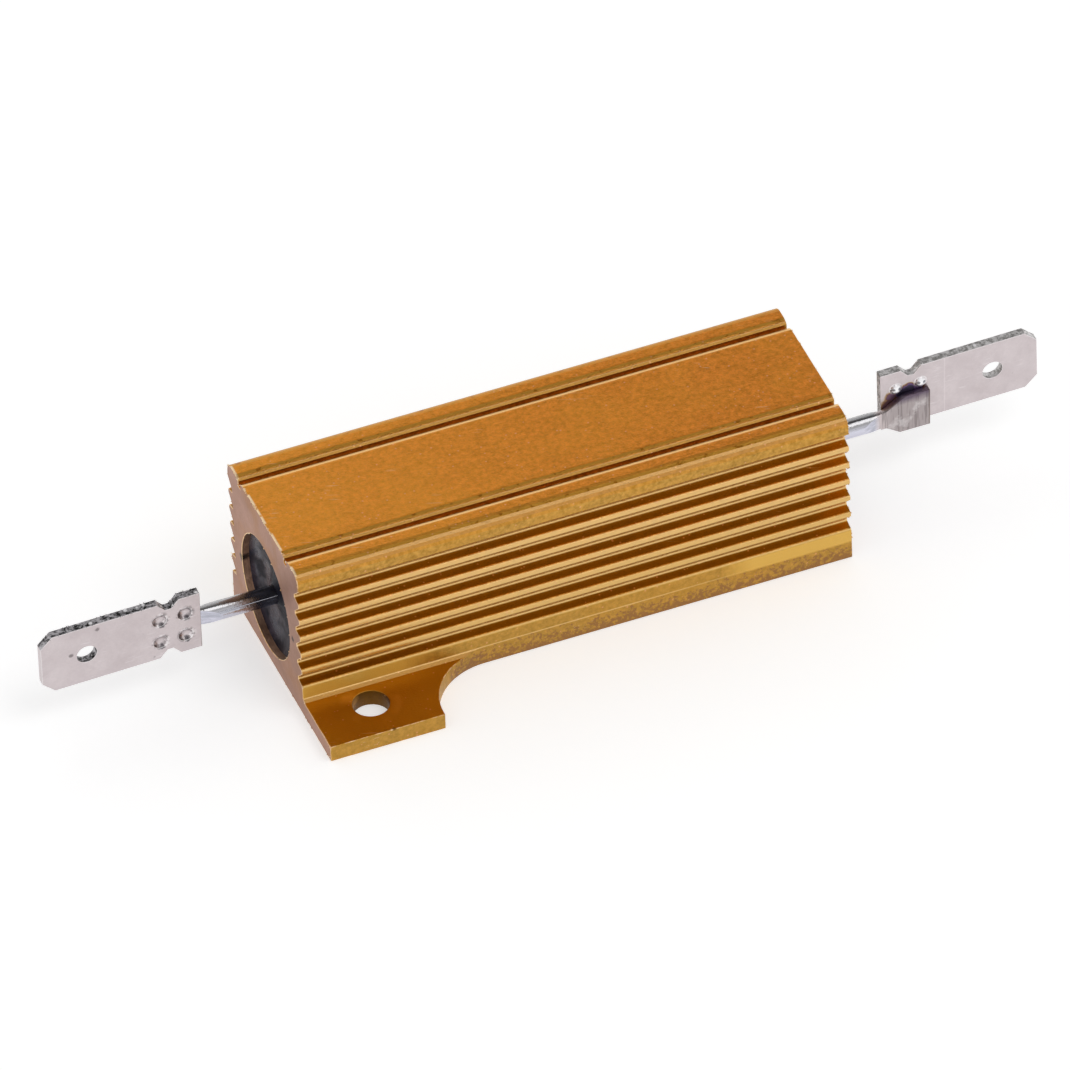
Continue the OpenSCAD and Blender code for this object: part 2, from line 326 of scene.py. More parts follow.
# %% [markdown]
# Flecks are the middles of a few cells of a Voronoi pattern. Each cell has a colour of its own by
# chance, and its red tells whether the cell gets a fleck.

# %% Sparse flecks
flecks, use = open_group("sparse flecks", {"Position": NOWHERE, "Scale": 1500.0, "Share": 0.1, "Size": 0.3},
                         ("Mask",))
cells = put(flecks, "ShaderNodeTexVoronoi", {"Vector": use["Position"], "Scale": use["Scale"]})
lucky = put(flecks, "ShaderNodeSeparateColor", {0: cells.outputs["Color"]}).outputs[0]
chosen = maths(flecks, "LESS_THAN", lucky, use["Share"])
fleck = remap(flecks, cells.outputs["Distance"], use["Size"], times(flecks, use["Size"], 0.5))
put(flecks, "NodeGroupOutput", {"Mask": times(flecks, chosen, fleck)})
print(flecks.name, len(flecks.nodes), "nodes")

# %% [markdown]
# A scratch is the thin ridge of a noise that is drawn out along one direction. A second, wider noise
# lets scratches show only here and there.

# %% Fine scratches
scratches, use = open_group("fine scratches", {"Position": NOWHERE, "Scale": 900.0, "Turn": 0.5,
                                               "Share": 0.3}, ("Mask",))
turned = put(scratches, "ShaderNodeVectorRotate", {"Vector": use["Position"], "Angle": use["Turn"]},
             rotation_type="Z_AXIS").outputs[0]
line = noise(scratches, squeezed(scratches, turned, (0.05, 1.0, 1.0)), use["Scale"], 0.0)
gate = noise(scratches, use["Position"], 400.0, 1.0)
thin = remap(scratches, line, 0.68, 0.75)
open_here = remap(scratches, gate, *(maths(scratches, "SUBTRACT", at, use["Share"]) for at in (0.75, 0.85)))
put(scratches, "NodeGroupOutput", {"Mask": times(scratches, thin, open_here)})
print(scratches.name, len(scratches.nodes), "nodes")

# %% [markdown]
# Wear needs to know where the edges are. The narrow faces of each broken edge carry an attribute, and a
# noise takes bites out of it, so that the rubbed line starts and stops as a real one does.

# %% Edge wear
edge_wear, use = open_group("edge wear", {"Position": NOWHERE, "Scale": 900.0, "Amount": 0.5}, ("Mask",))
edge = put(edge_wear, "ShaderNodeAttribute", attribute_name="edge").outputs["Fac"]
rub_and_light = noise(edge_wear, use["Position"], use["Scale"], 4.0, 0.7)
worn = remap(edge_wear, rub_and_light, *(maths(edge_wear, "SUBTRACT", at, use["Amount"]) for at in (0.9, 1.1)))
put(edge_wear, "NodeGroupOutput", {"Mask": times(edge_wear, edge, worn)})
print(edge_wear.name, len(edge_wear.nodes), "nodes")

# %% [markdown]
# A ragged spot is the distance from a point, made uneven by a noise and cut off at a reach. Weigh can
# leave an axis out, which turns the ball into a rod that goes through a thin plate.

# %% Ragged spot
spot, use = open_group("ragged spot", {"Position": NOWHERE, "Centre": NOWHERE, "Weigh": (1.0, 1.0, 1.0),
                                       "Reach": 0.001, "Ragged": 0.8}, ("Mask",))
offset = put(spot, "ShaderNodeVectorMath", {0: use["Position"], 1: use["Centre"]},
             operation="SUBTRACT").outputs[0]
away = put(spot, "ShaderNodeVectorMath", {0: squeezed(spot, offset, use["Weigh"])},
           operation="LENGTH").outputs["Value"]
rag = maths(spot, "SUBTRACT", noise(spot, use["Position"], maths(spot, "DIVIDE", 1.6, use["Reach"])), 0.5)
uneven = plus(spot, away, times(spot, rag, use["Reach"], use["Ragged"]))
put(spot, "NodeGroupOutput", {"Mask": remap(spot, uneven, use["Reach"],
                                            times(spot, use["Reach"], 0.5))})
print("effect groups:", [g.name for g in bpy.data.node_groups])

# %% [markdown]
# ## Finishes
# Every finish starts from the place on the piece and ends in one Principled shader. Two helpers do that,
# and what is mixed in between is the finish's own.

# %% Start and end of a material
def start_material(name):
    """A new material, its tree, the position on the piece and the way that a face looks."""
    made = bpy.data.materials.new(name)
    made.use_nodes = True
    tree = made.node_tree
    tree.nodes.clear()
    coordinates = put(tree, "ShaderNodeTexCoord").outputs
    return made, tree, coordinates["Object"], coordinates["Normal"]


def end_material(tree, colour, roughness, height=None, depth=0.0, **constants):
    """Closes a tree with a Principled shader. constants are written on its own sockets."""
    feeds = {"Base Color": colour, "Roughness": roughness}
    if height is not None:
        feeds["Normal"] = put(tree, "ShaderNodeBump", {"Height": height, "Distance": depth,
                                                       "Strength": 1.0}).outputs[0]
    feeds.update({key.replace("_", " "): value for key, value in constants.items()})
    shader = put(tree, "ShaderNodeBsdfPrincipled", feeds)
    put(tree, "ShaderNodeOutputMaterial", {"Surface": shader.outputs[0]})
    print("finish with", len(tree.nodes), "nodes")


# %% [markdown]
# ## Gold anodising
# The bar is milled, dyed and sealed before it is sawn to length, so the gold covers everything but the
# sawn ends and the bore. The film is clear and lies on etched metal. A metallic base gives the broad
# satin glow, and a thin coat on top gives the paler line along each rib. The gold is painted in two tones
# by the way the surface faces, a deeper, more saturated one on faces that look up and a less saturated
# one on the sides: this is painted light and shade for what each face mirrors.
#
# The colours are written as linear values of the metal itself. The places come from the box of the
# housing and from its drawing: screw holes, ribs, and the line up to which the flanges were milled.

# %% Colours and places on the housing
GOLD_UP, GOLD_SIDE = (0.59, 0.195, 0.004), (0.40, 0.21, 0.032)
DEEP_UP, DEEP_SIDE = (0.36, 0.115, 0.002), (0.28, 0.14, 0.015)
PALE_UP, PALE_SIDE = (0.95, 0.31, 0.03), (0.74, 0.40, 0.085)
PALE_GOLD, YELLOW_GOLD = (0.86, 0.44, 0.09), (0.78, 0.34, 0.02)
LEDGE_SHADE_GOLD, HIGHLIGHT_GOLD = (0.30, 0.135, 0.004), (0.88, 0.60, 0.25)
MILLED_GOLD, SHOULDER_HIGHLIGHT_GOLD = (0.30, 0.14, 0.05), (0.49, 0.27, 0.085)
BARE, PINK_FLECK = (0.90, 0.66, 0.40), (0.85, 0.42, 0.22)
FOOT_GOLD, FILLET_SHADE_GOLD, HOLE_SHADE_GOLD = (0.53, 0.245, 0.010), (0.42, 0.21, 0.05), (0.17, 0.07, 0.002)
RIB_FACE, RIB_ROOT = 8.2 * MM, 7.25 * MM      # outer face of the ribs and root of the grooves
RIBS_FROM, RIBS_TO = 3.0 * MM, 13.2 * MM      # the height that the ribs take up
FLANGE_CUT = 1.9 * MM                         # height up to which the flange was milled away
FOOT_TOP, HOLE_RADIUS = 1.6 * MM, 1.6 * MM
housing_low, housing_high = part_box("housing")
LEFT_END, TOP = housing_low.x, housing_high.z
HOLE_X, HOLE_Y = housing_high.x - 5.15 * MM, housing_high.y - 3.8 * MM      # the same for both feet
print("screw holes at", round(HOLE_X / MM, 2), round(HOLE_Y / MM, 2), "mm from the middle")

# %% [markdown]
# The dye is never even. A grain and small patches make it deeper and paler, and wide clouds turn it a
# touch yellower. Faces that look up are also painted yellower towards the left end, a painted
# reflection of the brighter light on that side.

# %% Dyed metal
gold, tree, place, facing = start_material("gold anodising")
looks, where = parts_of(tree, facing), parts_of(tree, place)
along, out, up = maths(tree, "ABSOLUTE", where["X"]), maths(tree, "ABSOLUTE", where["Y"]), where["Z"]
faces_up = remap(tree, looks["Z"], 0.2, 0.95)
mottle = grained(tree, place, 5600.0, 2300.0)
clouds = noise(tree, place, 160.0, 2.0)
# Painted light and shade: the gold's tone, and that of its deeper and paler patches, follows which way the
# face looks.
colour = mix(tree, faces_up, GOLD_SIDE, GOLD_UP)
colour = tinted(tree, colour, mottle["Value"], mix(tree, faces_up, DEEP_SIDE, DEEP_UP), 0.7)
colour = tinted(tree, colour, mottle["Patches"], mix(tree, faces_up, PALE_SIDE, PALE_UP), 0.75)
colour = tinted(tree, colour, remap(tree, clouds, 0.45, 0.65), YELLOW_GOLD, 0.15)
# Painted reflection: faces that look up turn yellower towards the left end.
leftward_light = remap(tree, where["X"], 14.0 * MM, -20.0 * MM)
colour = tinted(tree, colour, times(tree, faces_up, leftward_light), YELLOW_GOLD, 0.3)

# %% [markdown]
# The die leaves rolled shoulders beside the two grooves on top and a rounded crown along each outer
# corner. These are painted by the way they face: a painted highlight on the shoulders and on the far
# flank of each groove, a painted lighter tone on the crowns, which are also rougher, and painted shade on
# the upper walls inside each groove. Each is found by where it lies and which way it faces, so one rule
# serves both sides of the bar.

# %% Crowns, shoulders and grooves
not_foot = remap(tree, up, 2.1 * MM, 2.3 * MM)
# Painted lighter tone on the crown of each top corner, where it mirrors the dark ceiling.
crown_light = times(tree, within(tree, looks["Z"], 0.90, 0.985, 0.012),
              remap(tree, up, TOP - 0.3 * MM, TOP - 0.2 * MM))
colour = tinted(tree, colour, crown_light, (0.66, 0.33, 0.045), 0.9)
# Painted highlight on the rounded shoulders, picked by their tilt.
shoulder_highlight = times(tree, remap(tree, looks["Z"], 0.91, 0.85), remap(tree, looks["Z"], 0.45, 0.75), not_foot)
colour = tinted(tree, colour, shoulder_highlight, SHOULDER_HIGHLIGHT_GOLD)
scuff = times(tree, crown_light, remap(tree, noise(tree, place, 1500.0, 3.0), 0.58, 0.68))
colour = tinted(tree, colour, scuff, DEEP_UP, 0.8)
# Painted highlight on the groove flanks that face away from the front.
far_flank_highlight = times(tree, remap(tree, looks["Y"], 0.06, 0.2), remap(tree, looks["Z"], 0.6, 0.8),
                  remap(tree, up, TOP - 0.4 * MM, TOP - 0.3 * MM), remap(tree, out, 6.6 * MM, 6.5 * MM))
colour = tinted(tree, colour, far_flank_highlight, (1.0, 0.66, 0.27), 1.0)
# Painted shade on the upper walls inside each groove.
groove_lip_shade = times(tree, within(tree, up, TOP - 0.36 * MM, TOP - 0.2 * MM, 0.04 * MM),
            remap(tree, out, 6.3 * MM, 6.2 * MM))
colour = tinted(tree, colour, groove_lip_shade, (0.36, 0.17, 0.02), 0.8)
print("crowns and shoulders:", len(tree.nodes), "nodes so far")

# %% [markdown]
# The noses of the ribs get a painted highlight, and the ribs are painted paler towards the feet. The
# ledges between them get painted shade, deep brown, for the shade of the next rib, apart from the right
# end, where painted light stands for the light that comes in. The narrow root of each groove gets a
# painted highlight too.

# %% Ribs
# Painted highlight on the noses of the ribs.
nose_highlight = times(tree, within(tree, up, RIBS_FROM + 0.1 * MM, RIBS_TO - 0.1 * MM, 0.1 * MM),
              remap(tree, out, RIB_FACE - 0.16 * MM, RIB_FACE - 0.06 * MM))
colour = tinted(tree, colour, nose_highlight, HIGHLIGHT_GOLD, 0.65)
# Painted light: the ribs turn paler towards the feet.
colour = tinted(tree, colour, remap(tree, up, 9.0 * MM, 2.5 * MM), (0.50, 0.31, 0.05), 0.32)
# Painted shade on the ledges under each rib.
ledge_shade = times(tree, remap(tree, up, RIBS_TO + 0.6 * MM, RIBS_TO + 0.5 * MM),
              remap(tree, looks["Z"], 0.6, 0.9), remap(tree, out, RIB_FACE - 0.15 * MM, RIB_FACE - 0.3 * MM))
colour = tinted(tree, colour, ledge_shade, LEDGE_SHADE_GOLD)
# Painted light on the ledges near the right end.
ledge_end_light = times(tree, ledge_shade, remap(tree, where["X"], 21.5 * MM, 25.0 * MM))
colour = tinted(tree, colour, ledge_end_light, GOLD_UP, 0.7)
# Painted highlight on the narrow root of each groove.
root = times(tree, remap(tree, out, RIB_ROOT + 0.10 * MM, RIB_ROOT + 0.04 * MM),
             remap(tree, looks["Z"], 0.75, 0.5), remap(tree, up, TOP - 1.1 * MM, TOP - 1.2 * MM), not_foot)
colour = tinted(tree, colour, root, HIGHLIGHT_GOLD, 0.9)
print("ribs:", len(tree.nodes), "nodes so far")

# %% [markdown]
# A foot's top mirrors the side of the bar and looks darker. The fillet at the root of each foot and the
# wall of each screw hole get painted shade, and the far side of the near left hole's wall a painted patch
# of light. A washer has left a faint ring round the hole. The distance from the hole is worked out once,
# for both feet at a time.

# %% Feet and screw holes
from_hole = maths(tree, "SQRT", plus(tree, *(maths(tree, "POWER", maths(tree, "SUBTRACT", value, at), 2.0)
                                             for value, at in ((along, HOLE_X), (out, HOLE_Y)))))
low_down = remap(tree, up, FOOT_TOP + 0.15 * MM, FOOT_TOP + 0.05 * MM)
# Painted shade on the wall of each screw hole.
hole_wall_shade = times(tree, remap(tree, from_hole, HOLE_RADIUS + 0.08 * MM, HOLE_RADIUS + 0.02 * MM), low_down,
                  remap(tree, looks["Z"], 0.7, 0.4))
foot_top = times(tree, low_down, remap(tree, looks["Z"], 0.8, 0.95))
colour = tinted(tree, colour, foot_top, FOOT_GOLD)
# Painted shade in the fillet at the root of each foot.
fillet_shade = times(tree, within(tree, up, 1.62 * MM, 2.0 * MM, 0.05 * MM), remap(tree, looks["Z"], 0.98, 0.9),
               remap(tree, looks["Z"], 0.05, 0.2))
colour = tinted(tree, colour, fillet_shade, FILLET_SHADE_GOLD)
colour = tinted(tree, colour, hole_wall_shade, HOLE_SHADE_GOLD)
# Painted light on the far side of the wall of the near left hole.
rub_and_light = masked(tree, spot, place, Reach=0.9 * MM, Ragged=0.5,
             Centre=(-HOLE_X - 1.3 * MM, -HOLE_Y + 1.2 * MM, 1.3 * MM))
colour = tinted(tree, colour, rub_and_light, PALE_GOLD, 0.4)
washer = times(tree, within(tree, from_hole, 1.75 * MM, 2.5 * MM, 0.3 * MM), foot_top,
               remap(tree, noise(tree, place, 500.0, 1.0), 0.45, 0.6))
colour = tinted(tree, colour, washer, PALE_GOLD, 0.25)
print("feet:", len(tree.nodes), "nodes so far")

# %% [markdown]
# Wear lies on top of all that: pink flecks where the dye did not take, fine scratches, pale metal on the
# broken edges, a torn rim at the left end of the top, and one nick in the edge of the near foot, whose
# hollow gets painted shade beside bare metal.

# %% Wear
pink = masked(tree, flecks, place, Scale=3600.0, Share=0.05, Size=0.40)
colour = tinted(tree, colour, pink, PINK_FLECK, 0.5)
rubbed = masked(tree, scratches, place, Scale=9000.0, Turn=0.35, Share=0.12)
colour = tinted(tree, colour, rubbed, BARE, 0.35)
edge_mask = masked(tree, edge_wear, place, Scale=1700.0, Amount=0.45)
edge_mask = times(tree, edge_mask, remap(tree, from_hole, 1.75 * MM, 1.85 * MM))
colour = tinted(tree, colour, edge_mask, BARE, 0.85)
torn_rim = times(tree, remap(tree, where["X"], LEFT_END + 0.22 * MM, LEFT_END + 0.10 * MM),
                 remap(tree, up, TOP - 0.25 * MM, TOP - 0.1 * MM),
                 remap(tree, noise(tree, place, 800.0, 3.0, 0.6), 0.46, 0.52))
colour = tinted(tree, colour, torn_rim, (1.0, 0.80, 0.52), 0.9)
NICK_X = -19.23 * MM
# Painted shade in the nick's hollow, with bare metal beside it.
for shift, reach, tone in ((0.0, 0.24, HOLE_SHADE_GOLD), (-0.22, 0.15, BARE)):
    nick = masked(tree, spot, place, Reach=reach * MM, Ragged=0.4,
                  Centre=(NICK_X + shift * MM, housing_low.y, FOOT_TOP))
    colour = tinted(tree, colour, nick, tone, 0.9)
print("wear:", len(tree.nodes), "nodes so far")

# %% [markdown]
# The flanges were milled away up to a line just above the feet. The cutter leaves a browner, coarser
# skin that gets rougher towards the bottom, and a thin ridge where it stopped, which gets a painted
# highlight.

# %% Milled faces
below = times(tree, remap(tree, up, FLANGE_CUT, FLANGE_CUT - 0.06 * MM), remap(tree, looks["Z"], 0.5, 0.3),
              remap(tree, out, 9.5 * MM, 9.2 * MM))
bite = noise(tree, place, 2600.0, 3.0, 0.7)
deeper = remap(tree, up, 1.7 * MM, 0.1 * MM, 0.16, -0.06)
milled = times(tree, below, maths(tree, "SUBTRACT", 1.0, hole_wall_shade))
colour = tinted(tree, colour, times(tree, milled, remap(tree, maths(
    tree, "SUBTRACT", bite, deeper), 0.40, 0.52)), MILLED_GOLD, 0.8)
# Painted highlight on the ridge where the cutter stopped.
ridge_highlight = times(tree, remap(tree, maths(tree, "ABSOLUTE", maths(tree, "SUBTRACT", up, FLANGE_CUT)), 0.09 * MM,
              0.03 * MM), remap(tree, where["X"], 20.0 * MM, 5.0 * MM))
colour = tinted(tree, colour, ridge_highlight, HIGHLIGHT_GOLD, 0.6)
print("milled faces:", len(tree.nodes), "nodes so far")

# %% [markdown]
# The relief is a few hundredths of a millimetre: the grain, faint lines that the die drew along the bar,
# and the cutter's bites. The low band over each foot is rougher, and it is painted paler and made less
# metallic, as painted light for what the foot keeps it from mirroring.

# %% Relief and gloss
die_lines = noise(tree, squeezed(tree, place, (0.02, 1.0, 1.0)), 6000.0, 2.0, 0.6)
height = plus(tree, mottle["Value"], times(tree, die_lines, 0.5), times(tree, milled, bite, 4.0))
low_side = times(tree, remap(tree, looks["Z"], 0.3, 0.1), remap(tree, up, 3.3 * MM, 3.1 * MM))
# Painted light: the low band over each foot is paler and less metallic.
foot_band_light = times(tree, low_side, remap(tree, up, FOOT_TOP + 0.1 * MM, FLANGE_CUT),
                  remap(tree, along, 13.0 * MM, 16.0 * MM))
colour = tinted(tree, colour, foot_band_light, (0.92, 0.56, 0.10), 0.9)
rough = plus(tree, remap(tree, mottle["Patches"], 0, 1, 0.30, 0.36), times(tree, low_side, 0.2),
             times(tree, crown_light, 0.15))
end_material(tree, colour, rough, height, 0.014 * MM, Metallic=remap(tree, foot_band_light, 0, 1, 1.0, 0.45),
             Coat_Weight=0.15, Coat_Roughness=0.2, Coat_IOR=1.6)

# %% [markdown]
# ## Sawn ends
# The saw goes through the anodised bar last, so the ends are bare aluminium. Their dark warm grey is
# partly the metal's own dull tone and partly painted shade, as the ends lie in shade. The teeth leave
# shallow arcs. Patches of oil and colour that were dragged over the cut keep the face from looking like
# one flat tone.

# %% Sawn end
sawn, tree, place, _ = start_material("sawn end")
tone = grained(tree, place, 3000.0, 260.0)
# Partly painted shade: the sawn end's base tone is kept dark.
colour = mix(tree, tone["Patches"], (0.47, 0.255, 0.185), (0.40, 0.225, 0.155))
brown = remap(tree, noise(tree, place, 210.0, 2.0), 0.48, 0.62)
colour = tinted(tree, colour, brown, (0.43, 0.20, 0.075), 0.6)
colour = tinted(tree, colour, tone["Value"], (0.20, 0.12, 0.09), 0.18)
edge_mask = masked(tree, edge_wear, place, Scale=900.0, Amount=0.6)
colour = tinted(tree, colour, edge_mask, (1.0, 0.72, 0.42), 0.95)
# Place and reach of each smear, in mm
SMEARS = (((-25.0, 5.65, 6.6), 0.50), ((-24.6, 5.5, 6.65), 0.42), ((-25.0, -6.33, 7.1), 0.34))


def smeared(tree, place, colour):
    """Dark compound that was dragged over the rim of the bore."""
    for centre, reach in SMEARS:
        smear = masked(tree, spot, place, Reach=reach * MM, Ragged=1.2,
                       Centre=tuple(v * MM for v in centre))
        colour = tinted(tree, colour, smear, (0.03, 0.022, 0.02), 0.85)
    return colour


colour = smeared(tree, place, colour)
sweep = put(tree, "ShaderNodeTexWave", {"Vector": put(tree, "ShaderNodeMapping", {
    "Vector": place, "Location": (0, 0.16, 0.02)}).outputs[0], "Scale": 900.0, "Distortion": 5.0,
    "Detail": 3.0}, wave_type="RINGS", rings_direction="X").outputs["Fac"]
height = plus(tree, times(tree, sweep, 0.3), tone["Value"])
end_material(tree, colour, remap(tree, tone["Patches"], 0, 1, 0.42, 0.55), height, 0.008 * MM, Metallic=1.0)

# %% [markdown]
# The bore is turned before the bar is filled, so its wall has fine rings. A noise that only reads the
# place along the bore draws them, and the same smears run over its rim.

# %% Bore wall
bore, tree, place, _ = start_material("bore wall")
tone = grained(tree, place, 2600.0, 350.0)
colour = mix(tree, tone["Patches"], (0.40, 0.24, 0.16), (0.27, 0.16, 0.11))
rings = put(tree, "ShaderNodeTexNoise", {"W": parts_of(tree, place)["X"], "Scale": 7000.0},
            noise_dimensions="1D").outputs[0]
colour = tinted(tree, colour, remap(tree, rings, 0.5, 0.65), (0.10, 0.06, 0.04), 0.6)
colour = smeared(tree, place, colour)
end_material(tree, colour, 0.45, tone["Value"], 0.02 * MM, Metallic=1.0)

# %% [markdown]
# ## The housing with broken edges
# The CAD solid has knife edges, and no real part does. A copy of the solid is welded, its flat faces are
# joined again, and a Bevel modifier breaks every sharp edge by less than a tenth of a millimetre. The
# narrow faces it makes are marked with an attribute, so that wear and paler metal follow them exactly.

# %% Welding a copy
def welded(node):
    """A bmesh of a CAD solid with its loose triangles joined and its flat faces whole."""
    mesh = bmesh.new()
    mesh.from_mesh(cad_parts[node].data)
    bmesh.ops.remove_doubles(mesh, verts=mesh.verts, dist=1e-7)
    bmesh.ops.dissolve_limit(mesh, angle_limit=math.radians(0.6), verts=mesh.verts, edges=mesh.edges)
    return mesh


# %% [markdown]
# The helper works for every piece with knife edges. A weight on each sharp edge tells the Bevel modifier
# how wide to break it, and a spare material slot marks the new faces until the attribute is written.

# %% Broken edges
def broken_edges(node, name, width, finishes, choose, sharp=50.0, segments=2, root=None, root_width=0.0):
    """Replaces a CAD solid by a copy with broken edges. choose(centre, normal) gives a face's finish.
    root(point) tells whether a hollow edge is a groove's root, which is rounder and doesn't wear."""
    shape = welded(node)
    layer = shape.edges.layers.float.new("bevel_weight_edge")
    for edge in shape.edges:
        if len(edge.link_faces) == 2 and edge.calc_face_angle(0.0) > math.radians(sharp):
            hollow = root and not edge.is_convex and root((edge.verts[0].co + edge.verts[1].co) / 2)
            edge[layer] = (root_width if hollow else width) / max(width, root_width)
    mesh = bpy.data.meshes.new(name)
    shape.to_mesh(mesh)
    shape.free()
    for finish in (*finishes, finishes[0]):           # the last slot marks the new narrow faces
        mesh.materials.append(finish)
    rough = bpy.data.objects.new(name + "_rough", mesh)
    bpy.context.scene.collection.objects.link(rough)
    bevel = rough.modifiers.new("broken edge", "BEVEL")
    bevel.width, bevel.segments, bevel.limit_method = max(width, root_width), segments, "WEIGHT"
    bevel.harden_normals, bevel.use_clamp_overlap, bevel.material = True, False, len(finishes)
    graph = bpy.context.evaluated_depsgraph_get()
    done = bpy.data.meshes.new_from_object(rough.evaluated_get(graph), depsgraph=graph)
    bpy.data.objects.remove(rough)
    low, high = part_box(node)                          # a very sharp corner would leave a spike
    for corner in done.vertices:
        for axis in range(3):
            corner.co[axis] = min(max(corner.co[axis], low[axis]), high[axis])
    worn = [p.material_index == len(finishes) and not (root and root(p.center)) for p in done.polygons]
    done.attributes.new("edge", "FLOAT", "FACE").data.foreach_set("value", [float(w) for w in worn])
    done.materials.pop(index=len(finishes))
    for polygon in done.polygons:
        polygon.material_index = choose(polygon.center, polygon.normal)
    piece = bpy.data.objects.new(name, done)
    bpy.context.scene.collection.objects.link(piece)
    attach(piece, "root")
    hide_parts(node)
    print(name, len(done.polygons), "faces,", sum(worn), "of them broken edges")
    return piece


# %% [markdown]
# The housing has three finishes, and each face gets its own by where it lies: far out along X is a sawn
# end, close to the axis of the bore is the bore's wall, and all the rest is anodised.

# %% Housing
moulding_low, moulding_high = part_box("moulding")
bore_centre = (moulding_low + moulding_high) / 2
bore_radius = (moulding_high.z - moulding_low.z) / 2


def housing_finish(centre, _):
    """0 anodised, 1 sawn end, 2 wall of the bore."""
    out = math.hypot(centre.y - bore_centre.y, centre.z - bore_centre.z)
    if abs(centre.x) > housing_high.x - 0.02 * MM:
        return 1
    return 2 if out < bore_radius + 0.02 * MM else 0


def rib_root(point):
    """Whether a point lies at the root of a groove between two ribs, away from the sawn ends."""
    return (abs(point.y) < RIB_ROOT + 0.2 * MM and RIBS_FROM < point.z < RIBS_TO + 1.2 * MM
            and abs(point.x) < housing_high.x - 0.2 * MM)


housing = broken_edges("housing", "anodised_body", 0.07 * MM, [gold, sawn, bore], housing_finish,
                       segments=3, root=rib_root, root_width=0.17 * MM)

# %% [markdown]
# ## Moulding compound
# The bore is filled with a silicone compound that sets with a skin. It climbs the wire in a small
# fillet, and the skin is uneven, so its glossier islands mirror the table. Their lighter grey is a painted
# reflection, painted fainter towards the near rim as painted shade. The solid from CAD has the dish and
# the fillet, so it stays and only gets its material.

# %% Moulding compound
compound, tree, place, _ = start_material("moulding compound")
lumps = noise(tree, place, 330.0, 2.0, 0.5)
skin = noise(tree, place, 1500.0, 3.0)
islands_and_sheen = remap(tree, plus(tree, lumps, times(tree, skin, 0.25)), 0.56, 0.70)
# Painted reflection: the islands get a lighter grey, faded towards the near rim as painted shade.
islands_and_sheen = times(tree, islands_and_sheen, remap(tree, parts_of(tree, place)["Y"], -3.6 * MM, 0.5 * MM, 0.15, 1.0))
colour = mix(tree, islands_and_sheen, (0.006, 0.006, 0.014), (0.038, 0.035, 0.060))
height = plus(tree, lumps, times(tree, skin, 0.15))
end_material(tree, colour, remap(tree, islands_and_sheen, 0, 1, 0.42, 0.25), height, 0.30 * MM, Coat_Weight=times(
    tree, islands_and_sheen, 0.5), Coat_Roughness=0.2, Specular_IOR_Level=0.12)


def finish_node(node, material):
    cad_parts[node].material_slots[0].material = material


finish_node("moulding", compound)

# %% [markdown]
# ## Inside the moulding
# The ceramic rod, its winding and the pressed caps are sealed in, so nobody sees them until the model is
# cut open. They still get their own finishes: fired ceramic, drawn wire and pressed steel.

# %% Ceramic, wire and caps
ceramic, tree, place, _ = start_material("fired ceramic")
tone = grained(tree, place, 2500.0, 400.0)
end_material(tree, mix(tree, tone["Value"], (0.70, 0.65, 0.55), (0.82, 0.79, 0.72)), 0.7, tone["Value"],
             0.02 * MM)
drawn_wire, tree, place, _ = start_material("resistance wire")
tone = grained(tree, place, 5000.0, 900.0)
end_material(tree, mix(tree, tone["Value"], (0.36, 0.34, 0.31), (0.56, 0.54, 0.50)), 0.35, Metallic=1.0)
pressed, tree, place, _ = start_material("pressed cap")
tone = grained(tree, place, 3500.0, 500.0)
end_material(tree, mix(tree, tone["Patches"], (0.50, 0.49, 0.48), (0.62, 0.61, 0.60)),
             remap(tree, tone["Value"], 0, 1, 0.3, 0.45), tone["Value"], 0.01 * MM, Metallic=1.0)
for node, finish in (("ceramic_core", ceramic), ("resistance_winding", drawn_wire), ("left_end_cap", pressed),
                     ("right_end_cap", pressed)):
    finish_node(node, finish)

# %% [markdown]
# ## Tinned wires and tabs
# The wires are tinned, then pressed flat at their ends and welded to the tabs. The tabs are stamped from
# tinned strip: their faces are satin with a faint cloudy mottle, and the edges that the die sheared show
# dark, torn metal. Heat from the weld left blue and bronze on the right tab.

# %% Tin plate of the tabs
# Temper colours of hot tin and brass, from the cool rim of the stain to the weld
TEMPER = ((0.0, (0.70, 0.63, 0.60)), (0.25, (0.46, 0.29, 0.13)), (0.5, (0.17, 0.075, 0.05)),
          (0.72, (0.17, 0.10, 0.26)), (1.0, (0.05, 0.045, 0.09)))


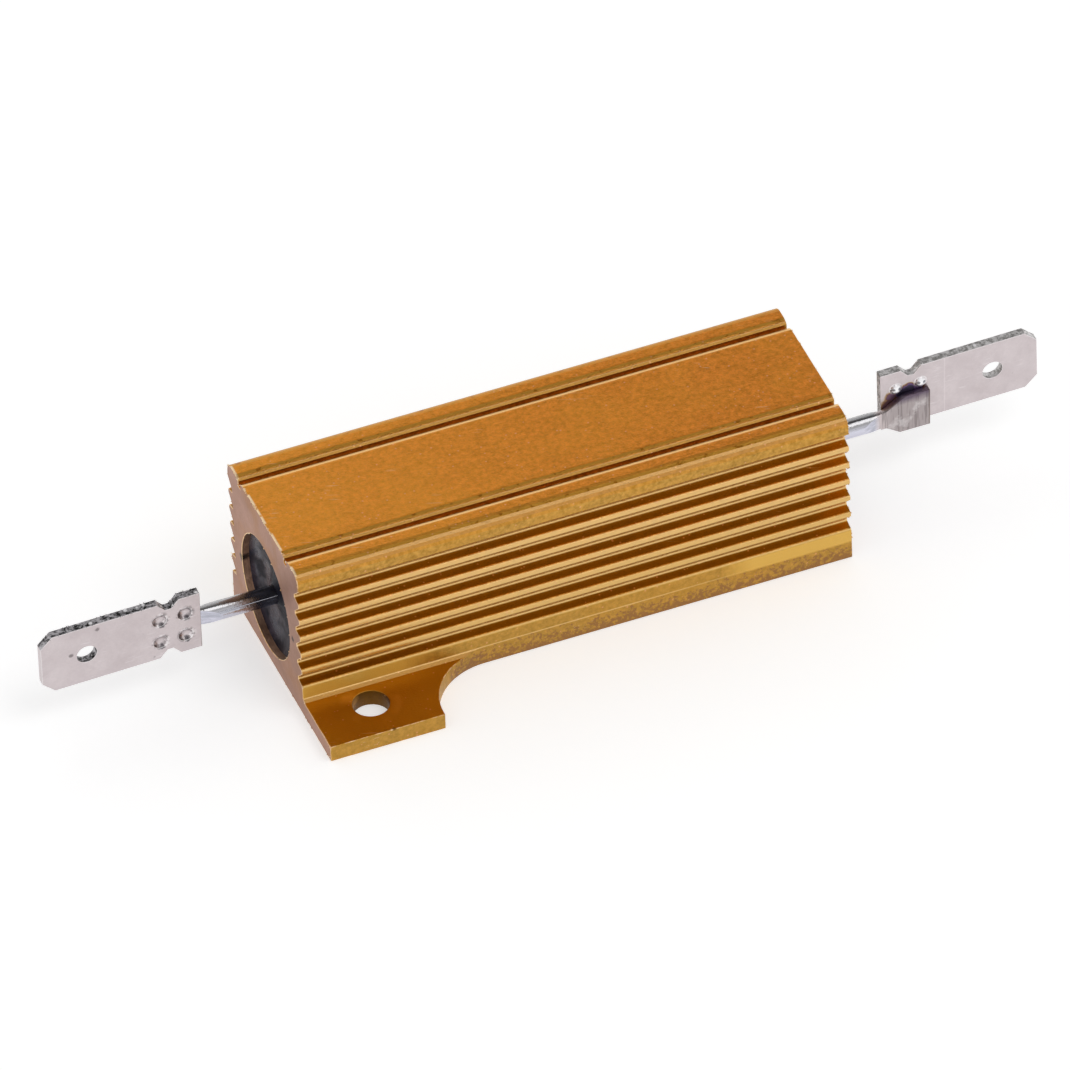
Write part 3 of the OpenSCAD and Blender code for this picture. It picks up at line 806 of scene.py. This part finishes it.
def tin_plate(name, inner=None, line=None, specks=(), dimples=(), domes=(), burns=()):
    """Satin tin of a tab. inner is the place of its dark inner end and line that of a mark from the press,
    both along X. The rest are points on its face, and a burn also has its reach and its heat."""
    made, tree, place, _ = start_material(name)
    tone = grained(tree, place, 4200.0, 520.0)
    where = parts_of(tree, place)
    colour = mix(tree, tone["Patches"], (0.60, 0.53, 0.54), (0.70, 0.63, 0.64))
    colour = tinted(tree, colour, tone["Value"], (0.40, 0.36, 0.37), 0.16)
    dots = masked(tree, flecks, place, Scale=900.0, Share=0.04, Size=0.16)
    colour = tinted(tree, colour, dots, (0.10, 0.085, 0.08), 0.6)
    hairlines = masked(tree, scratches, place, Scale=6000.0, Turn=0.1, Share=0.25)
    colour = tinted(tree, colour, hairlines, (0.85, 0.80, 0.82), 0.3)

    def near(point, reach, ragged=0.8):
        return masked(tree, spot, place, Centre=point, Weigh=(1.0, 0.0, 1.0), Reach=reach, Ragged=ragged)

    for point in specks:
        colour = tinted(tree, colour, near(point, 0.26 * MM), (0.16, 0.14, 0.14), 0.75)
    chatter = noise(tree, place, 2600.0, 2.0)
    for x, y, z in dimples:
        whole, hollow = (near((x, y, z), reach * MM, 0.5) for reach in (0.92, 0.62))
        rim = maths(tree, "SUBTRACT", whole, hollow, clamp=True)
        # Painted shade and glints round each dimple: dark and bright on its rim, a painted highlight above it
        # and painted shade below it.
        dimple_shade, bright = (times(tree, rim, remap(tree, chatter, 0.46, to)) for to in (0.54, 0.40))
        upper = near((x - 0.1 * MM, y, z + 0.45 * MM), 0.3 * MM, 1.0)
        lower = near((x + 0.1 * MM, y, z - 0.62 * MM), 0.32 * MM, 1.0)
        for mask, other, share in ((dimple_shade, (0.04, 0.035, 0.04), 0.95), (bright, (1.0, 0.98, 0.98), 0.8),
                                   (upper, (0.96, 0.95, 0.97), 0.8), (lower, (0.05, 0.045, 0.055), 0.8)):
            colour = tinted(tree, colour, mask, other, share)
    heat = 0.0
    for point, reach, most in burns:
        heat = maths(tree, "MAXIMUM", heat, times(tree, near(point, reach, 0.7), most))
    if burns:
        colour = tinted(tree, colour, remap(tree, heat, 0.0, 0.35), ramp(tree, heat, TEMPER), 0.95)
    for point in domes:
        colour = tinted(tree, colour, near(point, 0.66 * MM, 0.2), (0.98, 0.98, 1.0), 0.95)
        for shift in (-0.24 * MM, 0.26 * MM):
            dot = near((point[0] + shift, point[1], point[2] + 0.1 * MM), 0.17 * MM, 0.8)
            colour = tinted(tree, colour, dot, (0.06, 0.06, 0.08), 0.8)
    if inner is not None:
        colour = tinted(tree, colour, remap(tree, where["X"], inner - 0.13 * MM, inner - 0.05 * MM),
                        (0.10, 0.07, 0.05), 0.8)
    if line is not None:
        mark = within(tree, where["X"], line - 0.03 * MM, line + 0.03 * MM, 0.05 * MM)
        colour = tinted(tree, colour, mark, (0.92, 0.84, 0.86), 0.22)
    rub_and_light = masked(tree, edge_wear, place, Scale=1800.0, Amount=0.6)
    colour = tinted(tree, colour, rub_and_light, (0.92, 0.90, 0.90), 0.5)
    end_material(tree, colour, remap(tree, tone["Patches"], 0, 1, 0.33, 0.43), tone["Value"], 0.010 * MM,
                 Metallic=1.0)
    return made


# %% [markdown]
# A stamping die cuts part of the way and tears the rest. The left tab was torn roughly and the right one
# came out even, so the same finish is made twice with other tones.

# %% Sheared edges
def sheared_edge(name, dark, pale, glint):
    """Torn metal of a stamped outline. glint is the share of bright spots in it."""
    made, tree, place, _ = start_material(name)
    torn = noise(tree, place, 2400.0, 4.0, 0.75)
    colour = mix(tree, remap(tree, torn, 0.42, 0.58), dark, pale)
    bright = masked(tree, flecks, place, Scale=1900.0, Share=glint, Size=0.40)
    colour = mix(tree, bright, colour, (0.95, 0.93, 0.94))
    end_material(tree, colour, remap(tree, torn, 0.3, 0.7, 0.55, 0.30), torn, 0.08 * MM, Metallic=1.0)
    return made


sheared = {"left": sheared_edge("rough sheared edge", (0.02, 0.02, 0.02), (0.50, 0.48, 0.50), 0.30),
           "right": sheared_edge("even sheared edge", (0.30, 0.29, 0.28), (0.70, 0.68, 0.68), 0.10)}

# %% [markdown]
# The wire is dipped in tin and mirrors like chrome. Its upper side is painted darker, as painted shade,
# with duller speckles there. Its end was squeezed flat in striped jaws, and the weld scorched the top of
# that flat. The right flat lies in front of its tab and is seen, so it gets all of this. The left one
# lies behind its tab and stays plain.

# %% Tinned wires
def pressed_flat(tree, place, where, tone, press_from, press_to, top):
    """Mask and colour of a pressed end: between two places along X, and scorched near its top."""
    flat = remap(tree, where["X"], press_from, press_from + 0.6 * MM)
    pressed = mix(tree, remap(tree, where["X"], press_from + 0.3 * MM, press_from + 1.6 * MM),
                  (0.70, 0.62, 0.62), (0.42, 0.37, 0.37))
    stripes = noise(tree, squeezed(tree, place, (1.0, 1.0, 0.06)), 5200.0, 1.0)
    pressed = tinted(tree, pressed, remap(tree, stripes, 0.5, 0.62), (0.20, 0.17, 0.17), 0.55)
    pressed = tinted(tree, pressed, remap(tree, tone["Patches"], 0.6, 0.9), (0.72, 0.68, 0.68), 0.5)
    uneven = plus(tree, where["Z"], times(tree, tone["Patches"], 0.3 * MM))
    scorched = times(tree, remap(tree, uneven, top - 0.75 * MM, top - 0.05 * MM),
                     remap(tree, where["X"], press_from + 0.2 * MM, press_from + 0.9 * MM))
    pressed = tinted(tree, pressed, scorched, (0.11, 0.075, 0.12), 0.85)
    rim = remap(tree, where["X"], press_to - 0.2 * MM, press_to - 0.08 * MM)
    return flat, tinted(tree, pressed, rim, (0.16, 0.12, 0.10), 0.6)


def tinned_wire(name, press=None):
    """Bright tin on a drawn wire. press is the start, end and top of a pressed end that is seen."""
    made, tree, place, facing = start_material(name)
    where = parts_of(tree, place)
    streak = noise(tree, squeezed(tree, place, (0.06, 1.0, 1.0)), 2600.0, 2.0, 0.6)
    tone = grained(tree, place, 4200.0, 900.0)
    colour = mix(tree, remap(tree, streak, 0.35, 0.65), (0.46, 0.47, 0.54), (0.66, 0.66, 0.76))
    dots = masked(tree, flecks, place, Scale=2600.0, Share=0.16, Size=0.30)
    # Painted shade: the upper side of the wire is darker.
    shade = remap(tree, parts_of(tree, facing)["Z"], 0.2, 0.7)
    colour = tinted(tree, colour, shade, (0.34, 0.33, 0.31), 0.7)
    colour = tinted(tree, colour, times(tree, dots, shade), (0.07, 0.06, 0.06), 0.8)
    rough = 0.16
    if press:
        flat, pressed = pressed_flat(tree, place, where, tone, *press)
        colour, rough = mix(tree, flat, colour, pressed), remap(tree, flat, 0, 1, rough, 0.38)
    height = plus(tree, times(tree, streak, 0.4), tone["Value"])
    end_material(tree, colour, rough, height, 0.006 * MM, Metallic=1.0)
    return made


# %% [markdown]
# ## Tabs and wires with broken edges
# The same helper that broke the edges of the housing is used for the tabs and the wires. A face of a tab
# belongs to the sheared outline when it looks along the strip or up and down. Everything else is plate.

# %% Places on a tab
HALF_TAB = 3.15 * MM
DIMPLES = [(1.42, -1.25), (1.42, 1.25), (3.70, -1.25), (3.70, 1.25)]    # along and above the middle, in mm


def on_tab(side, along, rise):
    """A point on the face of a tab: so far from its inner end, and so far above its middle line."""
    low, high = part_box(side + "_tab")
    inner, sign = (high, -1) if side == "left" else (low, 1)
    inner_z = high.z - HALF_TAB if side == "left" else low.z + HALF_TAB
    tip_z = low.z + HALF_TAB if side == "left" else high.z - HALF_TAB
    return (inner.x + sign * along * MM, low.y, inner_z + (tip_z - inner_z) * along * MM / (high.x - low.x)
            + rise * MM)


def tab_finish(tip):
    """0 plate, 1 sheared outline. The tip is coined smooth, so it counts as plate."""
    def choose(centre, normal):
        return 1 if abs(normal.y) < 0.3 and abs(centre.x - tip) > 0.05 * MM else 0
    return choose


print("weld marks of the left tab:", [[round(v / MM, 2) for v in on_tab("left", *at)] for at in DIMPLES])

# %% [markdown]
# The left tab shows the hollow side of its four weld marks, and two specks. The right tab shows the raised
# side of the upper two, and the heat of the weld has run along the top of the flat that covers the lower
# two: brown at its cooler left, and violet to black in the middle.

# %% Tabs and wires
left_low, left_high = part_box("left_tab")
right_low, right_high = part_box("right_tab")
_, lead_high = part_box("right_lead")
weld_z = (lead_high.z - right_low.z - HALF_TAB) / MM          # top of the pressed end above the tab's middle
BURNS = ((0.72, -1.0, 0.85, 0.55), (1.0, -0.15, 0.75, 0.6), (1.9, 0.0, 0.75, 1.0),      # along, above the
         (2.7, 0.15, 0.85, 1.0), (3.5, 0.05, 0.7, 0.8), (0.8, -1.9, 0.7, 0.5))          # weld, reach, heat
plates = {
    "left": tin_plate("left tab tin", inner=left_high.x, dimples=[on_tab("left", *at) for at in DIMPLES],
                      specks=[on_tab("left", 11.8, 0.35), on_tab("left", 9.37, 2.5)]),
    "right": tin_plate("right tab tin", line=37.1 * MM,
                       domes=[on_tab("right", x, z) for x, z in DIMPLES if z > 0],
                       burns=[(on_tab("right", x, weld_z + above), reach * MM, heat)
                              for x, above, reach, heat in BURNS])}
wires = {"left": tinned_wire("left wire tin"),
         "right": tinned_wire("right wire tin", (lead_high.x - 5.2 * MM, lead_high.x, lead_high.z))}
for side, tip in (("left", left_low.x), ("right", right_high.x)):
    tab = broken_edges(side + "_tab", side + "_stamped_tab", 0.05 * MM, [plates[side], sheared[side]],
                       tab_finish(tip))
    lead = broken_edges(side + "_lead", side + "_tinned_wire", 0.05 * MM, [wires[side]], lambda *_: 0,
                        sharp=40.0)

# %% [markdown]
# ## Burrs on the sawn rims
# The saw tears small chips out of the rim of the bar and leaves them standing. They follow the outline of
# the cut and no two are alike, which is what Geometry Nodes does well: the rim becomes a curve, points are
# set along it, a share of them gets a chip, and each chip is turned and scaled by chance with a fixed seed.

# %% Tree for burrs
def burr_tree():
    """A tree that sets small torn chips along a rim of edges."""
    tree = bpy.data.node_groups.new("burrs along a rim", "GeometryNodeTree")
    face = tree.interface
    face.new_socket("Geometry", in_out="INPUT", socket_type="NodeSocketGeometry")
    for label, value in (("Pitch", 0.2 * MM), ("Share", 0.3), ("Length", 0.12 * MM), ("Seed", 1.0)):
        face.new_socket(label, in_out="INPUT", socket_type=FLOAT).default_value = value
    face.new_socket("Metal", in_out="INPUT", socket_type="NodeSocketMaterial")
    face.new_socket("Geometry", in_out="OUTPUT", socket_type="NodeSocketGeometry")
    use = tree.nodes.new("NodeGroupInput").outputs
    rim = put(tree, "GeometryNodeMeshToCurve", {"Mesh": use["Geometry"]}).outputs[0]
    spaced = put(tree, "GeometryNodeResampleCurve", {"Curve": rim, "Length": use["Pitch"]},
                 mode="LENGTH").outputs[0]
    points = put(tree, "GeometryNodeCurveToPoints", {"Curve": spaced}, mode="EVALUATED").outputs[0]
    chip = put(tree, "GeometryNodeMeshIcoSphere", {"Radius": 1.0, "Subdivisions": 1}).outputs[0]
    seed = put(tree, "FunctionNodeFloatToInt", {0: use["Seed"]}).outputs[0]
    chance = put(tree, "FunctionNodeRandomValue", {"Seed": seed}, data_type="FLOAT").outputs[1]
    keep = put(tree, "FunctionNodeCompare", {0: chance, 1: use["Share"]}, data_type="FLOAT",
               operation="LESS_THAN").outputs[0]
    spin = put(tree, "FunctionNodeRandomValue", {0: (-0.5, -0.5, -0.5), 1: (0.5, 0.5, 0.5), "Seed": seed},
               data_type="FLOAT_VECTOR").outputs[0]
    size = put(tree, "FunctionNodeRandomValue", {0: (0.35, 0.5, 0.25), 1: (0.8, 1.6, 0.5), "Seed": seed},
               data_type="FLOAT_VECTOR").outputs[0]
    scale = put(tree, "ShaderNodeVectorMath", {0: size, "Scale": use["Length"]}, operation="SCALE").outputs[0]
    placed = put(tree, "GeometryNodeInstanceOnPoints", {"Points": points, "Selection": keep,
                 "Instance": chip, "Rotation": spin, "Scale": scale}).outputs[0]
    real = put(tree, "GeometryNodeRealizeInstances", {0: placed}).outputs[0]
    done = put(tree, "GeometryNodeSetMaterial", {"Geometry": real, "Material": use["Metal"]}).outputs[0]
    put(tree, "NodeGroupOutput", {0: done})
    return tree


# %% [markdown]
# The tree runs as a modifier on an object that carries the rim. Its inputs are set by the identifiers of
# their sockets, and the result is taken out as a plain mesh, because the export drops instances.

# %% Running a tree
def made_by(tree, carrier, name, values):
    """Runs a geometry tree on the object that carries its path, and returns a plain mesh object."""
    modifier = carrier.modifiers.new(tree.name, "NODES")
    modifier.node_group = tree
    sockets = {item.name: item.identifier for item in tree.interface.items_tree if item.in_out == "INPUT"}
    for label, value in values.items():
        modifier[sockets[label]] = value
    bpy.context.view_layer.update()
    graph = bpy.context.evaluated_depsgraph_get()
    mesh = bpy.data.meshes.new_from_object(carrier.evaluated_get(graph), depsgraph=graph)
    bpy.data.objects.remove(carrier)
    piece = bpy.data.objects.new(name, mesh)
    bpy.context.scene.collection.objects.link(piece)
    print(name, len(mesh.polygons), "faces")
    return piece


# %% [markdown]
# A rim is picked out of the CAD solid itself, so the chips sit on the real outline of the cut.

# %% Rims
RIM_MARGINS = (0.13 * MM, 0.24 * MM, 0.07 * MM)        # along X, Y and Z, half of a chip in each direction


def rim_path(name, node, keep):
    """An object that holds only the sharp edges of a CAD solid that keep(edge) picks. It is drawn in a
    little where it touches the box of the whole part, so that no chip stands out of that box."""
    shape = welded(node)
    edges = [e for e in shape.edges if len(e.link_faces) == 2 and e.calc_face_angle(0) > 1.0 and keep(e)]
    for corner in {v for e in edges for v in e.verts}:
        for axis, margin in enumerate(RIM_MARGINS):
            corner.co[axis] = min(max(corner.co[axis], cad_low[axis] + margin), cad_high[axis] - margin)
    corners = list({v for e in edges for v in e.verts})
    number = {v: i for i, v in enumerate(sorted(corners, key=lambda v: tuple(v.co)))}
    mesh = bpy.data.meshes.new(name)
    mesh.from_pydata([v.co for v in number], [[number[v] for v in e.verts] for e in edges], [])
    shape.free()
    path = bpy.data.objects.new(name, mesh)
    bpy.context.scene.collection.objects.link(path)
    return path


def torn_metal(name, deep, pale):
    made, tree, place, _ = start_material(name)
    tone = grained(tree, place, 4000.0, 900.0)
    colour = mix(tree, tone["Patches"], deep, pale)
    end_material(tree, colour, remap(tree, tone["Value"], 0, 1, 0.3, 0.5), Metallic=1.0)
    return made


def middle(edge):
    return (edge.verts[0].co + edge.verts[1].co) / 2


def on_saw_cut(edge):
    return min(abs(v.co.x) for v in edge.verts) > housing_high.x - 0.01 * MM


def on_left_cut(edge):
    return on_saw_cut(edge) and middle(edge).x < 0


def top_of_left_tab(edge):
    run = edge.verts[0].co - edge.verts[1].co
    return middle(edge).z > left_high.z - 1.6 * MM and abs(run.x) > 2 * abs(run.y)


# %% [markdown]
# Torn aluminium is bright and torn tin is dark. The left top rim has the most chips, as the saw left it
# there, and each rim has its own seed.

# %% Chips on the rims
bright_chip = torn_metal("torn aluminium", (0.78, 0.50, 0.26), (1.0, 0.86, 0.66))
dark_chip = torn_metal("torn tin", (0.05, 0.05, 0.05), (0.50, 0.49, 0.50))
burrs = burr_tree()
RIMS = {                      # solid, which edges, metal, slot, pitch, share, length (mm), seed
    "left_upper_burrs": ("housing", lambda e: on_left_cut(e) and middle(e).z > TOP - 0.5 * MM,
                         bright_chip, "anodised_housing", 0.24, 0.42, 0.13, 3),
    "left_lower_burrs": ("housing", lambda e: on_left_cut(e) and middle(e).z <= TOP - 0.5 * MM,
                         bright_chip, "anodised_housing", 0.20, 0.10, 0.09, 7),
    "right_rim_burrs": ("housing", lambda e: on_saw_cut(e) and middle(e).x > 0, bright_chip,
                        "anodised_housing", 0.20, 0.20, 0.10, 5),
    "left_tab_burrs": ("left_tab", top_of_left_tab, dark_chip, "tinned_tab", 0.17, 0.26, 0.06, 11),
}
for name, (node, keep, metal, slot_name, pitch, share, length, seed) in RIMS.items():
    piece = made_by(burrs, rim_path(name + "_path", node, keep), name, {
        "Pitch": pitch * MM, "Share": share, "Length": length * MM, "Seed": float(seed), "Metal": metal})
    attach(piece, "root")
